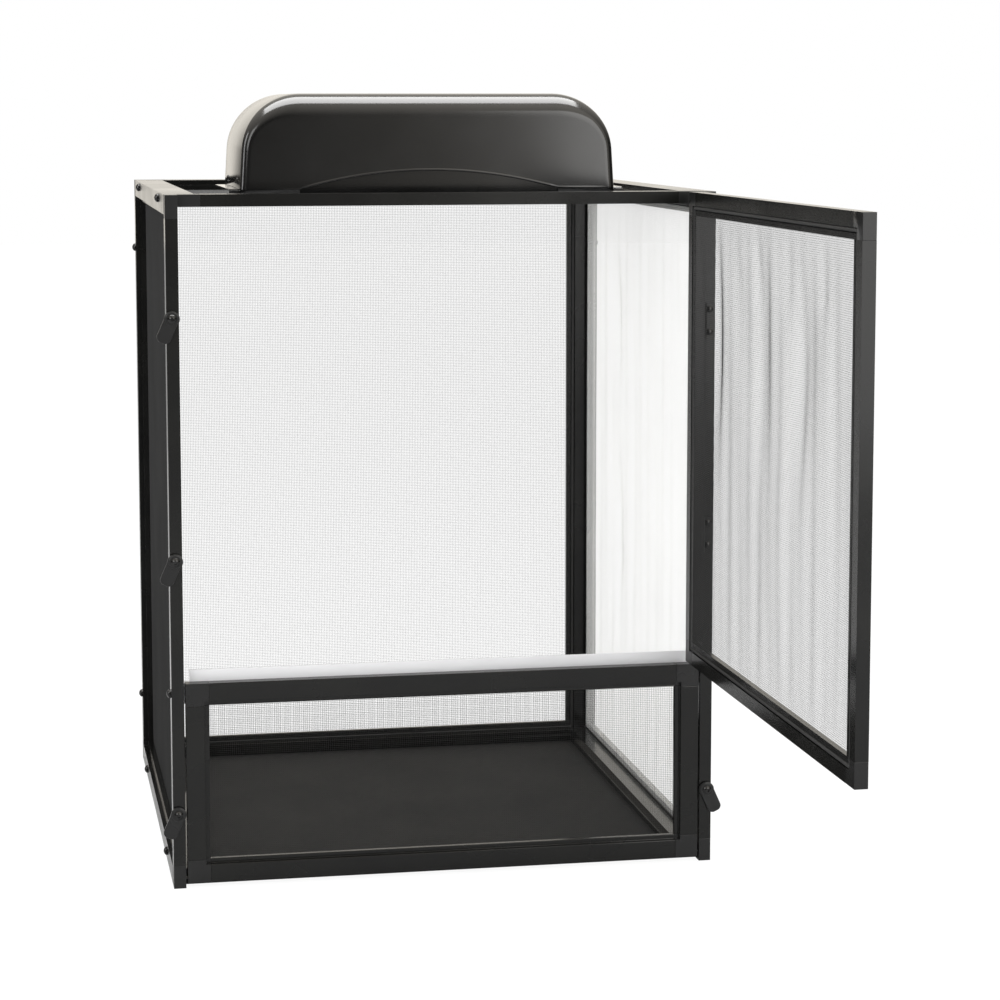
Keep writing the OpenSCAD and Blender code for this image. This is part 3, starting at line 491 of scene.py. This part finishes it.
gloss_black = coat("gloss_black", (0.004, 0.004, 0.004), (0.006, 0.006, 0.006), (0.08, 0.14),
                   grain=1500, depth=0.000005)
white_glaze = coat("white_glaze", (0.78, 0.77, 0.74), (0.85, 0.84, 0.81), (0.2, 0.3))
frosted_glass = coat("frosted_glass", (0.85, 0.85, 0.83), (0.9, 0.9, 0.88), (0.35, 0.45))
bright_sheet = coat("bright_sheet", (0.80, 0.80, 0.81), (0.88, 0.88, 0.89), (0.16, 0.24),
                    grain=900, depth=0.00001, metal=1.0)
strip_plate = coat("strip_plate", (0.40, 0.40, 0.40), (0.50, 0.50, 0.50), (0.14, 0.20),
                   grain=900, depth=0.00001, metal=1.0)
pad_black = coat("pad_black", (0.010, 0.010, 0.010), (0.018, 0.018, 0.018), (0.6, 0.75),
                 grain=1500, depth=0.0001)
softened("hood_front_plate", RAIL_EDGE, gloss_black, "cage")
softened("hood_foot_strips", RAIL_EDGE / 2, strip_plate, "cage")
dress("hood_reflector", bright_sheet)
dress("hood_lamp_holders", white_glaze)
dress("hood_bulbs", frosted_glass)
dress("hood_foot_pads", pad_black)
dress("hood_gland", cord_rubber)
dress("hood_rivets", hood_black)
for node in ("hood_lamp_brackets", "hood_bulb_caps", "hood_screws"):
    dress(node, steel_plate)

# ---- Studio ----
# A white table and a white sweep behind it, a wide soft lamp overhead,
# one lamp on each side of the camera and one at the left side.

TABLE_R = 9.0
TABLE_SIDES = 96
TABLE_ROUGH = 0.9
CAMERA_PLACE = (-0.324, -2.104, 0.571)
CAMERA_TURN = (90 - 6.34, 0.04, -10.51)
SENSOR = 36.0
PICTURE_PIXELS = 1000
LENS_PIXELS = 2647
LENS = LENS_PIXELS / PICTURE_PIXELS * SENSOR
SHIFT = (0.0157, -0.100)
TABLE_GREY = 0.86
TABLE_GLOW = 1.1
TABLE_WHITE = 0.84
DAYLIGHT = 0.6
DARK_ROOM = 0.11
SWEEP_GLOW = 1.15
SWEEP_AHEAD = (0.75, 0.90)
SWEEP_RIGHT = (-0.21, -0.12)
CEILING_GLOW = 1.6
CEILING_RISE = (0.15, 0.85)
WALL_GLOW = 1.2
WALL_BEHIND = (-0.3, -0.6)
WALL_RIGHT = (0.10, 0.23)
WARM = (1.0, 0.95, 0.86, 1)

table = bmesh.new()
bmesh.ops.create_circle(table, cap_ends=True, segments=TABLE_SIDES, radius=TABLE_R)
mesh = bpy.data.meshes.new("table")
table.to_mesh(mesh)
table.free()
table_top = bpy.data.objects.new("table", mesh)
bpy.context.scene.collection.objects.link(table_top)

white_table, shader, nodes, links = new_finish("white_table")
shader.inputs["Base Color"].default_value = (TABLE_GREY, TABLE_GREY, TABLE_GREY, 1)
shader.inputs["Roughness"].default_value = TABLE_ROUGH
glow = nodes.new("ShaderNodeEmission")
glow.inputs["Color"].default_value = (1, 1, 1, 1)
glow.inputs["Strength"].default_value = TABLE_GLOW
ray = nodes.new("ShaderNodeLightPath")
share = nodes.new("ShaderNodeMath")
share.operation = "MULTIPLY"
share.inputs[1].default_value = TABLE_WHITE
blend = nodes.new("ShaderNodeMixShader")
links.new(ray.outputs["Is Camera Ray"], share.inputs[0])
links.new(share.outputs["Value"], blend.inputs["Fac"])
links.new(shader.outputs["BSDF"], blend.inputs[1])
links.new(glow.outputs["Emission"], blend.inputs[2])
links.new(blend.outputs["Shader"], nodes["Material Output"].inputs["Surface"])
table_top.data.materials.append(white_table)

room = bpy.data.worlds.new("studio")
bpy.context.scene.world = room
room.use_nodes = True
nodes = room.node_tree.nodes
links = room.node_tree.links
way = nodes.new("ShaderNodeTexCoord")
axes = nodes.new("ShaderNodeSeparateXYZ")
links.new(way.outputs["Generated"], axes.inputs["Vector"])
ray = nodes.new("ShaderNodeLightPath")


def combine(operation, a, b):
    """One sum, product or larger value of two."""
    math_node = nodes.new("ShaderNodeMath")
    math_node.operation = operation
    links.new(a, math_node.inputs[0])
    links.new(b, math_node.inputs[1])
    return math_node.outputs["Value"]


sweep = combine("MULTIPLY", ramp(nodes, links, axes.outputs["Y"], *SWEEP_AHEAD, 0, 1),
                ramp(nodes, links, axes.outputs["X"], *SWEEP_RIGHT, 0, 1))
mirrored = combine("MAXIMUM", ray.outputs["Is Glossy Ray"], ray.outputs["Is Transmission Ray"])
level = nodes.new("ShaderNodeMix")
level.inputs["A"].default_value = DAYLIGHT
links.new(mirrored, level.inputs["Factor"])
ceiling = ramp(nodes, links, axes.outputs["Z"], *CEILING_RISE, 0, CEILING_GLOW)
right_wall = combine("MULTIPLY", ramp(nodes, links, axes.outputs["Y"], *WALL_BEHIND, 0, 1),
                     ramp(nodes, links, axes.outputs["X"], *WALL_RIGHT, 0, WALL_GLOW))
surround = combine("ADD", ceiling, right_wall)
behind = ramp(nodes, links, sweep, 0, 1, DARK_ROOM, SWEEP_GLOW)
links.new(combine("ADD", behind, surround), level.inputs["B"])
seen = nodes.new("ShaderNodeMix")
seen.inputs["B"].default_value = 1.0
links.new(ray.outputs["Is Camera Ray"], seen.inputs["Factor"])
links.new(level.outputs["Result"], seen.inputs["A"])
links.new(seen.outputs["Result"], nodes["Background"].inputs["Strength"])
tone = nodes.new("ShaderNodeMix")
tone.data_type = "RGBA"
tone.inputs["A"].default_value = (1, 1, 1, 1)
tone.inputs["B"].default_value = WARM
links.new(mirrored, tone.inputs["Factor"])
links.new(tone.outputs["Result"], nodes["Background"].inputs["Color"])


def softbox(name, place, aim, width, height, radiance, shine_only=False):
    """A flat soft lamp that faces a point, width across and height up."""
    lamp = bpy.data.lights.new(name, "AREA")
    lamp.shape = "RECTANGLE"
    lamp.size = width
    lamp.size_y = height
    lamp.energy = radiance * math.pi * width * height
    piece = bpy.data.objects.new(name, lamp)
    piece.location = place
    piece.rotation_euler = (Vector(aim) - Vector(place)).to_track_quat("-Z", "Y").to_euler()
    piece.visible_camera = False
    piece.visible_diffuse = not shine_only
    bpy.context.scene.collection.objects.link(piece)


softbox("overhead", (0, -0.06, 2.0), (0, -0.05, 0.5), 1.8, 1.3, 2.0)
softbox("overhead_shine", (0, -0.06, 1.99), (0, -0.05, 0.5), 1.8, 1.2, 9.5, shine_only=True)
softbox("right_of_camera", (0.94, -2.0, 0.82), (0, -0.1, 0.5), 0.9, 1.4, 3.3)
softbox("left_of_camera", (-1.5, -1.9, 1.2), (0, -0.1, 0.5), 0.9, 1.1, 4)
softbox("left_side", (-2.2, -0.1, 0.95), (0, -0.1, 0.5), 0.7, 1.3, 5)

camera = bpy.data.cameras.new("camera")
camera.sensor_width = SENSOR
camera.lens = LENS
camera.shift_x = SHIFT[0]
camera.shift_y = SHIFT[1]
viewer = bpy.data.objects.new("camera", camera)
viewer.location = CAMERA_PLACE
viewer.rotation_euler = [math.radians(a) for a in CAMERA_TURN]
bpy.context.scene.collection.objects.link(viewer)
bpy.context.scene.camera = viewer
bpy.context.scene.view_settings.view_transform = "Standard"
